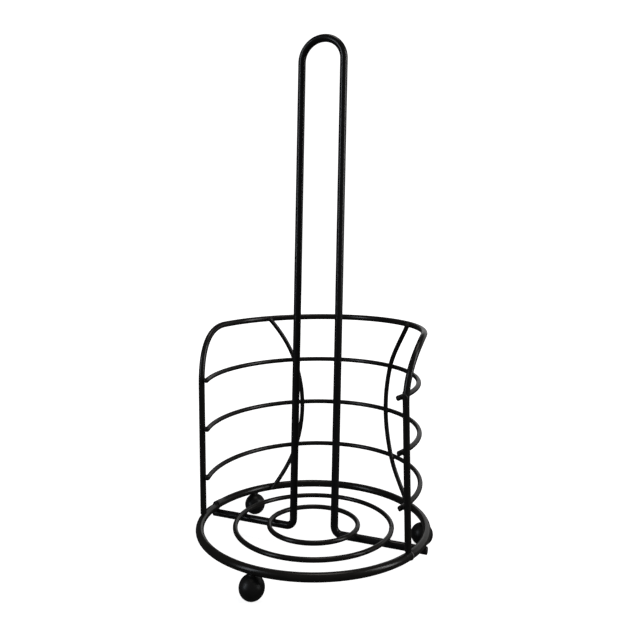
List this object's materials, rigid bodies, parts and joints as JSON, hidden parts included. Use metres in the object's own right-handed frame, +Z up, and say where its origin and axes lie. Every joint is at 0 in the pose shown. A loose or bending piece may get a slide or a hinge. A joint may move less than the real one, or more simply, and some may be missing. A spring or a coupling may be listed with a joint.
{
  "type": "paper towel holder",
  "caption": "Upright wire paper towel holder: a tall loop mast over a base of concentric rings, with a half-round rail basket behind the roll and ball feet.",
  "frame": {"origin": "on the table, under the mast, at the middle of the footprint", "axes": "+Z up along the mast, +X along the mast's right-hand bar, +Y towards the basket at the back"},
  "size_m": [0.1646, 0.1687, 0.3624],
  "materials": {
    "wire_coating": "satin black baked-on coating over steel wire",
    "foot_coating": "semi-gloss black coating over steel balls"
  },
  "bodies": {
    "root": {"mast_wire": "wire_coating", "outer_base_ring": "wire_coating", "middle_base_ring": "wire_coating", "inner_base_ring": "wire_coating", "basket_frame": "wire_coating", "basket_rail_upper": "wire_coating", "basket_rail_middle": "wire_coating", "basket_rail_lower": "wire_coating", "bow_left": "wire_coating", "bow_right": "wire_coating", "foot_front": "foot_coating", "foot_back_left": "foot_coating", "foot_back_right": "foot_coating"}
  },
  "joints": []
}
